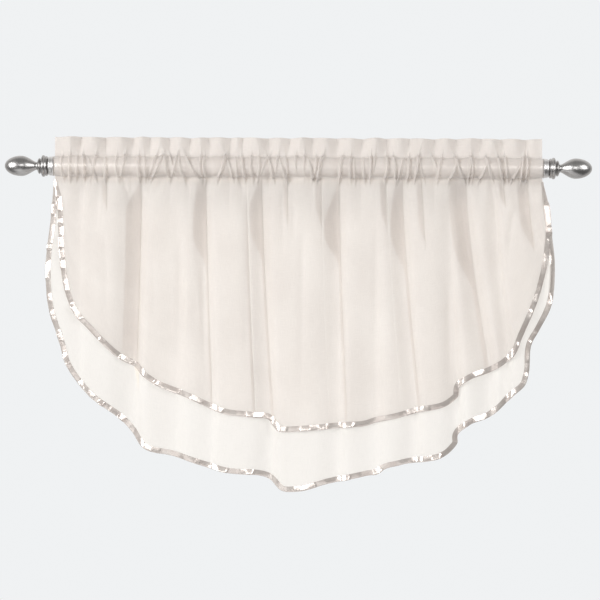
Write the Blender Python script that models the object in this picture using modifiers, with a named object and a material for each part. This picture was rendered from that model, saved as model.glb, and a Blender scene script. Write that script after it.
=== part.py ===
"""Ascot valance: two curved layers of sheer cloth, gathered on a curtain rod with turned finials.

Sizes are in millimetres and become metres where a mesh is made. The origin is on the rod's axis, halfway
along it: +X runs to the right along the rod, -Y faces the room, and a drop is measured down from the axis.
"""
import math

import bmesh
import bpy
import numpy as np

MM = 0.001
COLLECTION = "ascot_valance"

# Rod, end caps and finials
ROD_RADIUS = 14.0
ROD_SIDES = 20
CAP_INNER = 423.0
CAP_OUTER = 434.2
CAP_RADIUS = 16.4
CAP_LIP_RADIUS = 17.2
FINIAL_INNER = 434.5
FINIAL_LENGTH = 74.3
FINIAL_RADIUS = 17.6
FINIAL_BELLY = 45.7
NECK_RADIUS = 6.6
NECK_PLACE = 19.4
EGG_FULLNESS = 0.65
SEAT_GAP = 0.3

# Cloth on the rod
CLOTH_HALF = 422.0
CLOTH_THICKNESS = 1.0
POCKET_RADIUS = 15.8
POCKET_FILLET = 3.0
POCKET_STEPS = 5
HEADER_TOP = 49.5
LEAF_SPACING = 2.0
SEAM_ALLOWANCE = 11.0
ALLOWANCE_FLARE = 1.5

# Bound edge
BINDING_WIDTH = 9.5
BINDING_THICKNESS = 1.4
BINDING_GAP = 0.5
BINDING_END_WIDTH = 3.0
BINDING_TAPER = 40.0

# Hanging layers
LAYER_GAP = 7.0
GAP_REACH = 60.0
LEAN_POWER = 1.4
SHOULDER = 30.0
FOLD_START = 55.0
FOLD_FORWARD = 6.0
COLUMN_PITCH = 24.0
BODY_ROWS = (0.03, 0.08, 0.17, 0.31, 0.5, 0.74, 1.0)

# Valleys between the ruffles, as places along the rod
RUFFLE_VALLEYS = (-379, -332, -289, -257, -223, -190, -153, -119, -98, -51, -18,
                  25, 67, 108, 155, 190, 235, 275, 313, 353, 393)
RUFFLE_DEPTH_SHARE = 0.4
RUFFLE_BACK = 7.0
PUCKER_DEPTH = 1.6
PUCKER_RISE = 10.0
SEAM_RIPPLE = 0.18
RIPPLE_REACH = 90.0

# Outer edge of each layer, left to right: place on the rod, place at the edge, drop at the edge
FRONT_EDGE = (
    (-422, -423, 23), (-422, -417, 75), (-422, -413, 148), (-408, -407, 200), (-398, -396, 238),
    (-389, -383, 261), (-372, -364, 281), (-350, -343, 303), (-302, -301, 338), (-273, -284, 346),
    (-261, -268, 363), (-249, -254, 373), (-195, -189, 401), (-136, -124, 428), (-88, -72, 434),
    (-66, -49, 438), (-58, -42, 448), (-49, -35, 456), (-36, -23, 458), (-10, 5, 457),
    (68, 84, 450), (104, 120, 447), (122, 139, 441), (147, 176, 433), (171, 204, 425),
    (223, 267, 407), (233, 279, 396), (240, 281, 380), (256, 296, 368), (292, 338, 352),
    (321, 375, 324), (345, 389, 292), (390, 420, 216), (422, 435, 145), (422, 434, 65),
    (422, 424, 23),
)
REAR_EDGE = (
    (-422, -424, 23), (-422, -429, 87), (-422, -438, 182), (-402, -432, 248), (-386, -412, 309),
    (-379, -405, 336), (-342, -361, 398), (-294, -305, 441), (-278, -289, 459), (-257, -269, 486),
    (-214, -212, 503), (-138, -123, 530), (-68, -47, 542), (-48, -26, 561), (-20, -2, 562),
    (44, 53, 549), (105, 121, 535), (120, 141, 531), (131, 152, 523), (152, 178, 516),
    (219, 269, 490), (230, 279, 477), (237, 279, 465), (256, 298, 446), (288, 336, 431),
    (307, 353, 417), (328, 375, 394), (344, 395, 375), (352, 401, 355), (370, 406, 304),
    (382, 421, 278), (396, 438, 243), (422, 446, 165), (422, 441, 119), (422, 425, 23),
)

# Hanging folds: place at the rod, place lower down, drop there, width, depth at the top, depth lower down
FOLDS = (
    (-372, -378, 110, 18, 6, 2),
    (-344, -352, 120, 18, 6, 0),
    (-273, -285, 350, 34, 18, 14),
    (-212, -212, 380, 40, 2, 9),
    (-162, -150, 330, 24, 14, 5),
    (-63, -46, 437, 26, 15, 12),
    (70, 70, 340, 28, 15, 9),
    (132, 134, 430, 36, 2, 9),
    (178, 204, 400, 26, 16, 10),
    (258, 278, 385, 24, 5, 12),
    (285, 334, 340, 30, 19, 14),
    (337, 363, 290, 18, 9, 9),
    (386, 427, 150, 26, 13, 6),
)
FOLD_SOFT_SIDE = 0.9
FOLD_SHARP_SIDE = 0.38


def smooth(share):
    """Ease a share from 0 to 1 without a corner at either end."""
    share = np.clip(share, 0.0, 1.0)
    return share * share * (3.0 - 2.0 * share)


def smooth_curve(rows, samples=24):
    """Run a smooth curve through a table's rows and return it finely sampled."""
    points = np.array(rows, dtype=float)
    steps = np.hypot(np.diff(points[:, 1]), np.diff(points[:, 2]))
    slopes = np.gradient(points, np.concatenate(([0.0], np.cumsum(steps))), axis=0)
    pieces = []
    for index, step in enumerate(steps):
        share = np.linspace(0.0, 1.0, samples, endpoint=False)[:, None]
        curve = points[index] + (points[index + 1] - points[index]) * smooth(share)
        curve += step * slopes[index] * share * (1.0 - share) ** 2
        curve -= step * slopes[index + 1] * share ** 2 * (1.0 - share)
        pieces.append(curve)
    pieces.append(points[-1:])
    return np.concatenate(pieces)


def binding_width(drop):
    """Return the ribbon's width, which narrows where its ends are drawn into the seam."""
    spread = smooth((drop - SEAM_DROP) / BINDING_TAPER)
    return BINDING_END_WIDTH + (BINDING_WIDTH - BINDING_END_WIDTH) * spread


class Edge:
    """The outer edge of one layer: down its left side, along its hem and up its right side.

    A station is a place along the edge, counted in samples.
    """

    def __init__(self, rows):
        curve = smooth_curve(rows)
        self.place = np.clip(curve[:, 0], -CLOTH_HALF, CLOTH_HALF)
        self.across = curve[:, 1]
        self.drop = curve[:, 2]
        self.station = np.arange(len(curve), dtype=float)
        run = np.gradient(self.across)
        fall = np.gradient(self.drop)
        length = np.hypot(run, fall)
        self.inward_x = fall / length
        self.inward_drop = -run / length
        self.travel = np.concatenate(([0.0], np.cumsum(np.hypot(np.diff(self.across), np.diff(self.drop)))))
        self.left = np.flatnonzero(self.place <= -CLOTH_HALF)[-1]
        self.right = np.flatnonzero(self.place >= CLOTH_HALF)[0]

    def points(self, stations, inset):
        """Return x and drop at the stations, moved in from the edge by inset."""
        across = self.across + inset * self.inward_x
        drop = self.drop + inset * self.inward_drop
        return np.interp(stations, self.station, across), np.interp(stations, self.station, drop)

    def panel_inset(self):
        """Return how far the cloth stays inside the edge, for the ribbon to fit round it."""
        return binding_width(self.drop) + BINDING_GAP

    def hem_stations(self, places):
        """Return the stations on the hem that places along the rod hang down to."""
        hem = slice(self.left, self.right + 1)
        return np.interp(places, self.place[hem], self.station[hem])

    def side_stations(self):
        """Return the stations of the cloth's rows on the left side and on the right side, going down."""
        panel_drop = self.drop + self.panel_inset() * self.inward_drop
        shares = np.array(BODY_ROWS[:-1])
        left_drops = SEAM_DROP + (panel_drop[self.left] - SEAM_DROP) * shares
        right_drops = SEAM_DROP + (panel_drop[self.right] - SEAM_DROP) * shares
        left_side = slice(0, self.left + 1)
        right_side = slice(None, self.right - 1, -1)
        left = np.interp(left_drops, panel_drop[left_side], self.station[left_side])
        right = np.interp(right_drops, panel_drop[right_side], self.station[right_side])
        return left, right


def column_places(edge):
    """Place columns at each ruffle's valley and ridge, and closer together where the hem is steep."""
    valleys = (-CLOTH_HALF, *RUFFLE_VALLEYS, CLOTH_HALF)
    places = [-CLOTH_HALF]
    for left, right in zip(valleys, valleys[1:]):
        start, end = np.interp(edge.hem_stations((left, right)), edge.station, edge.travel)
        pairs = max(round((right - left) / COLUMN_PITCH), round((end - start) / (2 * COLUMN_PITCH)))
        marks = np.linspace(start, end, 2 * pairs + 1)[1:]
        stations = np.interp(marks, edge.travel, edge.station)
        places.extend(np.interp(stations, edge.station, edge.place))
    return np.array(places)


def ruffle(places):
    """Return how far the header's edge stands forward at each place, from valleys to ridges."""
    valleys = np.array((-CLOTH_HALF, *RUFFLE_VALLEYS, CLOTH_HALF))
    index = np.clip(np.searchsorted(valleys, places, side="right") - 1, 0, len(valleys) - 2)
    pitch = valleys[index + 1] - valleys[index]
    phase = (places - valleys[index]) / pitch
    rise = 0.5 - 0.5 * np.cos(2.0 * math.pi * phase)
    flat_end = smooth((CLOTH_HALF - np.abs(places)) / SHOULDER)
    return (RUFFLE_DEPTH_SHARE * pitch * rise - RUFFLE_BACK) * flat_end


def pucker(places):
    """Return how far the gathered pocket stands off the rod at each place."""
    return PUCKER_DEPTH * smooth((ruffle(places) + RUFFLE_BACK) / PUCKER_RISE)


def hanging_folds(across, drop):
    """Return how far the hanging cloth stands forward, with a valley for each fold."""
    forward = np.full(np.shape(across), FOLD_FORWARD, dtype=float)
    for top_x, low_x, low_drop, width, top_depth, low_depth in FOLDS:
        share = np.clip((drop - SEAM_DROP) / (low_drop - SEAM_DROP), 0.0, 1.0)
        line = top_x + (low_x - top_x) * share ** LEAN_POWER
        depth = top_depth + (low_depth - top_depth) * share
        side = np.where(across < line, FOLD_SOFT_SIDE, FOLD_SHARP_SIDE) * width
        forward = forward - depth * np.exp(-((across - line) / side) ** 2)
    return forward * smooth((drop - SEAM_DROP) / FOLD_START)


def hanging_surface(across, drop, layer):
    """Return how far a layer stands forward: its folds, the ripple under the seam and the gap between."""
    fade = smooth(1.0 - (drop - SEAM_DROP) / RIPPLE_REACH)
    ripple = SEAM_RIPPLE * ruffle(np.clip(across, -CLOTH_HALF, CLOTH_HALF)) * fade
    gap = LEAF_SPACING + (LAYER_GAP - LEAF_SPACING) * smooth((drop - SEAM_DROP) / GAP_REACH)
    return hanging_folds(across, drop) + ripple + 0.5 * LEAF_SPACING + layer * 0.5 * gap


def fillet_height(side):
    """Return where a leaf that stands side millimetres off the rod's plane turns onto the rod."""
    reach = POCKET_RADIUS + POCKET_FILLET
    return math.sqrt(reach ** 2 - (side + POCKET_FILLET) ** 2)


SEAM_DROP = fillet_height(LEAF_SPACING)
HEADER_SEAM = fillet_height(0.5 * LEAF_SPACING)


def hanging_rows(places, edge, layer):
    """Return a layer's rows of points from its hem up to just under the seam, its ends on its sides."""
    hem_x, hem_drop = edge.points(edge.hem_stations(places), edge.panel_inset())
    left_stations, right_stations = edge.side_stations()
    left_x = edge.points(left_stations, edge.panel_inset())[0]
    right_x = edge.points(right_stations, edge.panel_inset())[0]
    near_left = smooth(1.0 - (CLOTH_HALF + places) / SHOULDER)
    near_right = smooth(1.0 - (CLOTH_HALF - places) / SHOULDER)
    rows = []
    for index, share in enumerate(BODY_ROWS):
        across = places + (hem_x - places) * share ** LEAN_POWER
        if share < 1.0:
            across = across + (left_x[index] - across[0]) * near_left + (right_x[index] - across[-1]) * near_right
        drop = SEAM_DROP + (hem_drop - SEAM_DROP) * share
        forward = hanging_surface(across, drop, layer)
        rows.append(np.column_stack((across, -forward, -drop)))
    return rows[::-1]


def pocket_rows(places, direction):
    """Return the rows of the leaf that passes the rod, upwards in front or downwards behind it."""
    low = math.asin(SEAM_DROP / (POCKET_RADIUS + POCKET_FILLET))
    high = math.asin(HEADER_SEAM / (POCKET_RADIUS + POCKET_FILLET))
    radius = POCKET_RADIUS + pucker(places)
    rows = []
    for angle in np.linspace(-low, high, POCKET_STEPS)[::-direction]:
        rows.append(np.column_stack((places, direction * radius * math.cos(angle), radius * math.sin(angle))))
    return rows


def header_row(places, share, side):
    """Return one row of the header at a share of its height, side millimetres behind its middle."""
    height = HEADER_SEAM + (HEADER_TOP - HEADER_SEAM) * share
    forward = ruffle(places) * (SEAM_RIPPLE + (1.0 - SEAM_RIPPLE) * share)
    return np.column_stack((places, side - forward, np.full(len(places), height)))


def front_panel_rows(places, edge):
    """Follow the front layer from its hem, over the rod and the header, and down behind the rod."""
    leaf = 0.5 * LEAF_SPACING
    seam = np.full(len(places), SEAM_DROP)
    seam_forward = hanging_surface(places, seam, 1.0)
    crown = header_row(places, 1.0, 0.0) + (0.0, 0.0, leaf)
    tail = []
    for share in (0.0, 1.0):
        drop = np.full(len(places), SEAM_DROP + SEAM_ALLOWANCE * share)
        behind = 1.5 * LEAF_SPACING + ALLOWANCE_FLARE * share
        tail.append(np.column_stack((places, behind - hanging_surface(places, drop, 0.0), -drop)))
    return [
        *hanging_rows(places, edge, 1.0),
        np.column_stack((places, -seam_forward, -seam)),
        *pocket_rows(places, -1),
        header_row(places, 0.0, -leaf), header_row(places, 0.5, -leaf), header_row(places, 1.0, -leaf),
        crown,
        header_row(places, 1.0, leaf), header_row(places, 0.5, leaf), header_row(places, 0.0, leaf),
        *pocket_rows(places, 1),
        *tail,
    ]


def rear_panel_rows(places, edge):
    """Follow the longer layer from its hem up to its top edge, caught in the pocket's lower seam."""
    top = np.full(len(places), SEAM_DROP)
    forward = hanging_surface(places, top, -1.0)
    return [*hanging_rows(places, edge, -1.0), np.column_stack((places, -forward, -top))]


def binding_rows(places, edge, layer):
    """Return the two edges of the ribbon that binds a layer's sides and hem."""
    left, right = edge.side_stations()
    stations = np.concatenate(([0.0], left, edge.hem_stations(places), right[::-1], edge.station[-1:]))
    rows = []
    for inset in (0.0, binding_width(edge.drop)):
        across, drop = edge.points(stations, inset)
        forward = hanging_surface(across, drop, layer)
        rows.append(np.column_stack((across, -forward, -drop)))
    return rows


def clear_scene():
    """Remove every object that the file opens with."""
    for thing in list(bpy.data.objects):
        bpy.data.objects.remove(thing, do_unlink=True)


def make_material(name, colour, roughness, metallic):
    """Make a plain Principled material."""
    material = bpy.data.materials.new(name)
    material.use_nodes = True
    shader = material.node_tree.nodes["Principled BSDF"]
    shader.inputs["Base Color"].default_value = (*colour, 1.0)
    shader.inputs["Roughness"].default_value = roughness
    shader.inputs["Metallic"].default_value = metallic
    return material


def add_object(name, mesh, material, collection):
    """Put a mesh in the part's collection as one node."""
    mesh.materials.append(material)
    mesh.shade_smooth()
    thing = bpy.data.objects.new(name, mesh)
    collection.objects.link(thing)
    return thing


def add_sheet(name, rows, thickness, material, collection):
    """Join rows of points into an open sheet and give it its thickness."""
    shape = bmesh.new()
    grid = [[shape.verts.new(MM * point) for point in row] for row in rows]
    for lower, upper in zip(grid, grid[1:]):
        for index in range(len(lower) - 1):
            shape.faces.new((lower[index], lower[index + 1], upper[index + 1], upper[index]))
    mesh = bpy.data.meshes.new(name)
    shape.to_mesh(mesh)
    shape.free()
    sheet = add_object(name, mesh, material, collection)
    shell = sheet.modifiers.new("thickness", "SOLIDIFY")
    shell.thickness = MM * thickness
    shell.offset = 0.0
    shell.use_even_offset = True
    return sheet


def add_turned(name, profile, material, collection):
    """Turn a profile of (height, radius) points, given from its top down, about the vertical axis."""
    shape = bmesh.new()
    points = [shape.verts.new((MM * radius, 0.0, MM * height)) for height, radius in profile]
    for upper, lower in zip(points, points[1:]):
        shape.edges.new((upper, lower))
    mesh = bpy.data.meshes.new(name)
    shape.to_mesh(mesh)
    shape.free()
    turned = add_object(name, mesh, material, collection)
    screw = turned.modifiers.new("turn", "SCREW")
    screw.steps = ROD_SIDES
    screw.render_steps = ROD_SIDES
    screw.use_merge_vertices = True
    screw.merge_threshold = 0.00001
    screw.use_smooth_shade = True
    return turned


def finial_profile():
    """Return the finial's profile from its tip to the disc that seats on the end cap."""
    tip_length = FINIAL_LENGTH - FINIAL_BELLY
    neck_length = FINIAL_BELLY - NECK_PLACE
    profile = [(FINIAL_LENGTH, 0.0)]
    for degrees in (20, 42, 66, 90):
        angle = math.radians(degrees)
        profile.append((FINIAL_BELLY + tip_length * math.cos(angle), FINIAL_RADIUS * math.sin(angle)))
    for share in (0.25, 0.5, 0.72, 1.0):
        fall = (0.5 + 0.5 * math.cos(math.pi * share)) ** EGG_FULLNESS
        radius = NECK_RADIUS + (FINIAL_RADIUS - NECK_RADIUS) * fall
        profile.append((FINIAL_BELLY - neck_length * share, radius))
    bead = [(16.6, 9.0), (15.2, 13.4), (13.2, 13.4), (12.0, 10.5)]
    disc = [(10.6, 12.0), (9.6, 17.4), (7.8, 18.8), (5.4, 18.2), (4.2, 16.4)]
    seat = [(2.4, 17.2), (0.0, 15.8), (0.0, 0.0)]
    return profile + bead + disc + seat


def cap_profile():
    """Return the end cap's profile from the face under the finial to the face on the rod's end."""
    length = CAP_OUTER - CAP_INNER
    shoulder = [(length, 0.0), (length, 12.6), (length - 1.6, 15.2), (length - 4.0, CAP_RADIUS)]
    lip = [(3.4, CAP_RADIUS), (2.4, CAP_LIP_RADIUS), (0.6, CAP_LIP_RADIUS), (0.0, CAP_RADIUS), (0.0, 0.0)]
    return shoulder + lip


def add_rod(material, collection):
    """Lay the plain round rod along X, its ends just short of the caps."""
    shape = bmesh.new()
    radius = MM * ROD_RADIUS
    depth = 2.0 * MM * (CAP_INNER - SEAT_GAP)
    bmesh.ops.create_cone(shape, cap_ends=True, segments=ROD_SIDES, radius1=radius, radius2=radius, depth=depth)
    mesh = bpy.data.meshes.new("rod")
    shape.to_mesh(mesh)
    shape.free()
    rod = add_object("rod", mesh, material, collection)
    rod.rotation_euler = (0.0, 0.5 * math.pi, 0.0)


def add_ends(material, collection):
    """Stand an end cap and a finial on each end of the rod, pointing outwards."""
    for side, sign in (("left", -1.0), ("right", 1.0)):
        for name, profile, place in (("end_cap", cap_profile(), CAP_INNER),
                                     ("finial", finial_profile(), FINIAL_INNER)):
            turned = add_turned(f"{name}_{side}", profile, material, collection)
            turned.location = (sign * MM * place, 0.0, 0.0)
            turned.rotation_euler = (0.0, sign * 0.5 * math.pi, 0.0)


def add_cloth(voile, satin, collection):
    """Hang both layers of cloth and bind their curved edges."""
    front = Edge(FRONT_EDGE)
    rear = Edge(REAR_EDGE)
    places = column_places(rear)
    add_sheet("front_panel", front_panel_rows(places, front), CLOTH_THICKNESS, voile, collection)
    add_sheet("rear_panel", rear_panel_rows(places, rear), CLOTH_THICKNESS, voile, collection)
    add_sheet("front_binding", binding_rows(places, front, 1.0), BINDING_THICKNESS, satin, collection)
    add_sheet("rear_binding", binding_rows(places, rear, -1.0), BINDING_THICKNESS, satin, collection)


def build():
    """Build the whole valance on its rod."""
    clear_scene()
    collection = bpy.data.collections.new(COLLECTION)
    bpy.context.scene.collection.children.link(collection)
    nickel = make_material("brushed_nickel", (0.42, 0.41, 0.40), 0.3, 1.0)
    voile = make_material("ivory_voile", (0.88, 0.85, 0.8), 0.85, 0.0)
    satin = make_material("champagne_satin", (0.78, 0.73, 0.67), 0.3, 0.0)
    add_rod(nickel, collection)
    add_ends(nickel, collection)
    add_cloth(voile, satin, collection)


build()
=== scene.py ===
"""Looks of the ascot valance: fine sheer cloth, satin ribbon and turned nickel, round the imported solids.

Sizes are in millimetres and become metres where a mesh is made. The origin is on the rod's axis, halfway
along it: +X runs to the right along the rod, -Y faces the room, and a drop is measured down from the axis.
"""
import math

import bmesh
import bpy
import numpy as np
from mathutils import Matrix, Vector

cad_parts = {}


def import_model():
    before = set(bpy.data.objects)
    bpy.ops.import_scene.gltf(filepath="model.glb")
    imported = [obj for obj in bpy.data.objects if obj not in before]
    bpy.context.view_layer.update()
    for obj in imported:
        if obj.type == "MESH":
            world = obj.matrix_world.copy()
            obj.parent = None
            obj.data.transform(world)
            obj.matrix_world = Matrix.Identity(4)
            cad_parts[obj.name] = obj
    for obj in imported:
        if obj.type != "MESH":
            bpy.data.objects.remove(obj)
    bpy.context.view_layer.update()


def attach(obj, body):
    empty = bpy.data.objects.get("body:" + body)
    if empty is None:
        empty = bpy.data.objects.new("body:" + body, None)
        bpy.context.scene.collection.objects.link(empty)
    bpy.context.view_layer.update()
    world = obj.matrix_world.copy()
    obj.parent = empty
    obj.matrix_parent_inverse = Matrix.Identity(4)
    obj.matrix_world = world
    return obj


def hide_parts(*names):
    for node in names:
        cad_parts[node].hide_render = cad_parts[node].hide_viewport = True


MM = 0.001

# Photograph: one pixel's size at the rod, the middle of its view and how far it is turned
PHOTO_PIXELS = 600
PIXEL_SIZE = 1.733
VIEW_CENTRE_X = 3.8
VIEW_CENTRE_DROP = 230.0
CAMERA_DISTANCE = 3000.0
CAMERA_ROLL = 0.005
SENSOR_WIDTH = 36.0

# Rod, end caps and finials
ROD_RADIUS = 14.0
CAP_INNER = 423.0
CAP_OUTER = 434.2
CAP_RADIUS = 16.4
CAP_LIP_RADIUS = 17.2
FINIAL_INNER = 434.5
FINIAL_LENGTH = 74.3
FINIAL_RADIUS = 17.6
FINIAL_BELLY = 45.7
NECK_RADIUS = 6.6
NECK_PLACE = 19.4
EGG_FULLNESS = 0.65
SEAT_GAP = 0.3
ROD_EDGE = 0.4
TURNED_STEPS = 96
TIP_STEPS = 18
NECK_STEPS = 21
WELD_DISTANCE = 0.000001
# Turned details of a finial, from its neck to its seat: height above the seat, radius
FINIAL_BEAD = ((17.4, 7.6), (16.4, 11.4), (15.3, 13.2), (14.2, 13.8), (13.1, 13.4), (12.2, 11.8),
               (11.7, 10.6))
FINIAL_DISC = ((10.9, 10.9), (10.4, 13.5), (9.9, 16.6), (9.0, 18.3), (7.8, 18.8), (6.4, 18.6), (5.3, 17.9),
               (4.6, 16.8), (4.0, 16.4))
FINIAL_SEAT = ((3.0, 17.0), (2.0, 17.2), (0.9, 16.8), (0.1, 15.8), (0.0, 15.4), (0.0, 0.0))
# An end cap's shoulder: depth under its outer face, radius
CAP_SHOULDER = ((0.0, 0.0), (0.0, 12.2), (0.3, 12.8), (1.3, 14.8), (2.5, 15.9), (4.0, CAP_RADIUS))
# An end cap's lip: height above its inner face, radius
CAP_LIP = ((3.8, CAP_RADIUS), (3.3, 16.6), (2.8, 17.0), (2.1, CAP_LIP_RADIUS), (0.9, CAP_LIP_RADIUS),
           (0.3, 17.0), (0.0, 16.5), (0.0, 0.0))

# Cloth on the rod, in front of it and behind it as signs along Y
IN_FRONT = -1
BEHIND = 1
CLOTH_HALF = 422.0
POCKET_RADIUS = 15.8
POCKET_FILLET = 3.0
POCKET_ROWS = {IN_FRONT: 18, BEHIND: 8}
CLOTH_ON_ROD = 14.4
HEADER_TOP = 49.5
HEADER_ROWS = {IN_FRONT: 10, BEHIND: 5}
HEADER_WAVE = 0.9
HEADER_WAVE_LENGTHS = (13.0, 31.0)
HEADER_SWAY = 3.5
HEADER_SWAY_STEP = 2.4
HEADER_FLARE_POWER = 0.8
LEAF_SPACING = 2.0
# Where the header's top turns over: half leaf spacings behind its middle, half leaf spacings up
HEADER_TURN = ((-0.7, 0.7), (0.0, 1.0), (0.7, 0.7))
SEAM_ALLOWANCE = 11.0
ALLOWANCE_SHARES = (0.0, 0.33, 0.67, 1.0)
ALLOWANCE_FLARE = 1.5

# Bound edge
BINDING_WIDTH = 9.5
BINDING_END_WIDTH = 3.0
BINDING_TAPER = 40.0
BINDING_HALF_THICKNESS = 0.55
BINDING_COVER = 1.2
BINDING_PITCH = 1.6
# The ribbon's way round the edge: share of its width inwards, half thicknesses in front
BINDING_TURN = (
    (1.0, 0.9), (0.75, 1.15), (0.5, 1.2), (0.25, 1.1), (0.06, 0.8), (0.0, 0.0),
    (0.06, -0.8), (0.25, -1.1), (0.5, -1.2), (0.75, -1.15), (1.0, -0.9),
)

# Hanging layers. Their columns are spaced evenly along the hem and, with more weight, along the rod
LAYER_GAP = 7.0
GAP_REACH = 60.0
LEAN_POWER = 1.4
SHOULDER = 30.0
FOLD_START = 55.0
FOLD_FORWARD = 6.0
COLUMNS = 800
COLUMN_ROD_SHARE = 4.0
BODY_ROWS = 52
BODY_ROW_POWER = 1.35

# Valleys between the ruffles, as places along the rod
RUFFLE_VALLEYS = (-379, -332, -289, -257, -223, -190, -153, -119, -98, -51, -18,
                  25, 67, 108, 155, 190, 235, 275, 313, 353, 393)
VALLEYS_AND_ENDS = np.array((-CLOTH_HALF, *RUFFLE_VALLEYS, CLOTH_HALF))
RUFFLE_DEPTH_SHARE = 0.4
RUFFLE_BACK = 7.0
RUFFLE_ROUNDNESS = 0.6
PUCKER_DEPTH = 1.6
PUCKER_RISE = 10.0
SEAM_RIPPLE = 0.18
RIPPLE_REACH = 90.0

# Outer edge of each layer, left to right: place on the rod, place at the edge, drop at the edge
FRONT_EDGE = (
    (-422, -423, 23), (-422, -417, 75), (-422, -413, 148), (-408, -407, 200), (-398, -396, 238),
    (-389, -383, 261), (-372, -364, 281), (-350, -343, 303), (-302, -301, 338), (-273, -284, 346),
    (-261, -268, 363), (-249, -254, 373), (-195, -189, 401), (-136, -124, 428), (-88, -72, 434),
    (-66, -49, 438), (-58, -42, 448), (-49, -35, 456), (-36, -23, 458), (-10, 5, 457),
    (68, 84, 450), (104, 120, 447), (122, 139, 441), (147, 176, 433), (171, 204, 425),
    (223, 267, 407), (233, 279, 396), (240, 281, 380), (256, 296, 368), (292, 338, 352),
    (321, 375, 324), (345, 389, 292), (390, 420, 216), (422, 435, 145), (422, 434, 65),
    (422, 424, 23),
)
REAR_EDGE = (
    (-422, -424, 23), (-422, -429, 87), (-422, -438, 182), (-402, -432, 248), (-386, -412, 309),
    (-379, -405, 336), (-342, -361, 398), (-294, -305, 441), (-278, -289, 459), (-257, -269, 486),
    (-214, -212, 503), (-138, -123, 530), (-68, -47, 542), (-48, -26, 561), (-20, -2, 562),
    (44, 53, 549), (105, 121, 535), (120, 141, 531), (131, 152, 523), (152, 178, 516),
    (219, 269, 490), (230, 279, 477), (237, 279, 465), (256, 298, 446), (288, 336, 431),
    (307, 353, 417), (328, 375, 394), (344, 395, 375), (352, 401, 355), (370, 406, 304),
    (382, 421, 278), (396, 438, 243), (422, 446, 165), (422, 441, 119), (422, 425, 23),
)

# Hanging folds: place at the rod, place lower down, drop there, width, depth at the top, depth lower down
FOLDS = (
    (-372, -378, 110, 18, 6, 2),
    (-344, -352, 120, 18, 6, 0),
    (-273, -285, 350, 34, 18, 14),
    (-212, -212, 380, 40, 2, 9),
    (-162, -150, 330, 24, 14, 5),
    (-63, -46, 437, 26, 15, 12),
    (70, 70, 340, 28, 15, 9),
    (132, 134, 430, 36, 2, 9),
    (178, 204, 400, 26, 16, 10),
    (258, 278, 385, 24, 5, 12),
    (285, 334, 340, 30, 19, 14),
    (337, 363, 290, 18, 9, 9),
    (386, 427, 150, 26, 13, 6),
)
FOLD_SOFT_SIDE = 0.9
FOLD_SHARP_SIDE = 0.38

# Knife pleats, folded back under themselves to the left: place on the rod, width at the seam, full width,
# width lower down, drop where it is fully wide, drop where it starts to open, drop where it has opened
PLEATS = (
    (-332, 8, 8, 0, 30, 50, 80),
    (-272, 2, 26, 20, 78, 300, 400),
    (-160, 16, 24, 3, 105, 120, 180),
    (-90, 0, 3, 4, 160, 200, 300),
    (-64, 6, 22, 4, 75, 110, 165),
    (-19, 6, 6, 0, 30, 65, 110),
    (39, 10, 10, 0, 30, 65, 110),
    (71, 3, 28, 4, 105, 115, 175),
    (150, 9, 9, 0, 30, 75, 110),
    (180, 14, 24, 4, 110, 120, 190),
    (213, 8, 9, 0, 30, 90, 140),
    (290, 27, 31, 7, 60, 135, 220),
    (355, 8, 8, 0, 30, 45, 72),
    (397, 18, 18, 0, 60, 95, 150),
)
# How far a pleat's layers stand off the cloth, and how wide the cloth beside them eases back
PLEAT_LIFT = 0.6
PLEAT_SHOULDER = 9.0
PLEAT_FORMED = 3.0
PLEAT_OPENS = 7.0
PLEAT_CLOSED_PITCH = 0.08
PLEAT_CLEAR = 1.2
# How much of a pleat's lift the pressed hem takes away, over which share of the drop
HEM_PRESS = 0.75
HEM_PRESS_REACH = 0.1
# Each layer's share of a pleat's three widths
FRONT_PLEAT_SHARES = (1.0, 1.0, 1.0)
REAR_PLEAT_SHARES = (0.6, 0.6, 0.0)
# One pleat's way round: share of its width drawn back, extra millimetres drawn back, lift
PLEAT_TURN = (
    (0.0, 0.2, 1.0), (0.0, 0.0, 1.0), (0.0, -0.1, 0.5), (0.0, 0.0, 0.0), (0.0, 0.2, 0.0),
    (0.33, 0.0, 0.0), (0.67, 0.0, 0.0), (1.0, -0.2, 0.0), (1.0, 0.0, 0.0), (1.0, 0.1, -0.5),
    (1.0, 0.0, -1.0), (1.0, -0.2, -1.0), (0.67, 0.0, -1.0), (0.33, 0.0, -1.0), (0.0, 0.0, -1.0),
)

# Creases: place and drop of the upper end, place and drop of the lower end, width, depth
CREASES = (
    (-384, 5, -384, 40, 3, 1.5),
    (-369, 5, -374, 62, 6, 2.5),
    (-358, 5, -358, 42, 3, 1.5),
    (-307, 5, -292, 66, 4, 2.6),
    (-228, 5, -256, 70, 8, 2.6),
    (-199, 5, -186, 48, 3, 2.2),
    (-138, 5, -138, 40, 3, 1.6),
    (-107, 5, -93, 48, 3, 2.4),
    (-51, 5, -51, 42, 3, 1.6),
    (-8, 60, -8, 135, 5, 1.8),
    (-27, 30, -27, 165, 5, 1.8),
    (101, 5, 101, 38, 3, 1.4),
    (109, 5, 109, 38, 3, 1.4),
    (332, 5, 350, 140, 6, 3.0),
    (373, 70, 360, 170, 6, 2.4),
    (-252, 110, -248, 340, 7, 1.2),
    (-203, 110, -201, 380, 7, 3.6),
    (-165, 150, -160, 400, 6, 2.6),
    (-89, 20, -86, 430, 7, 2.2),
    (8, 90, 6, 440, 7, 2.0),
    (136, 90, 134, 430, 7, 1.8),
    (261, 180, 263, 400, 6, 2.0),
    (-335, 110, -328, 300, 8, 1.6),
    (-182, 180, -170, 400, 8, 1.4),
)
CREASE_START = 5.0
CREASE_END = 1.5

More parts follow.
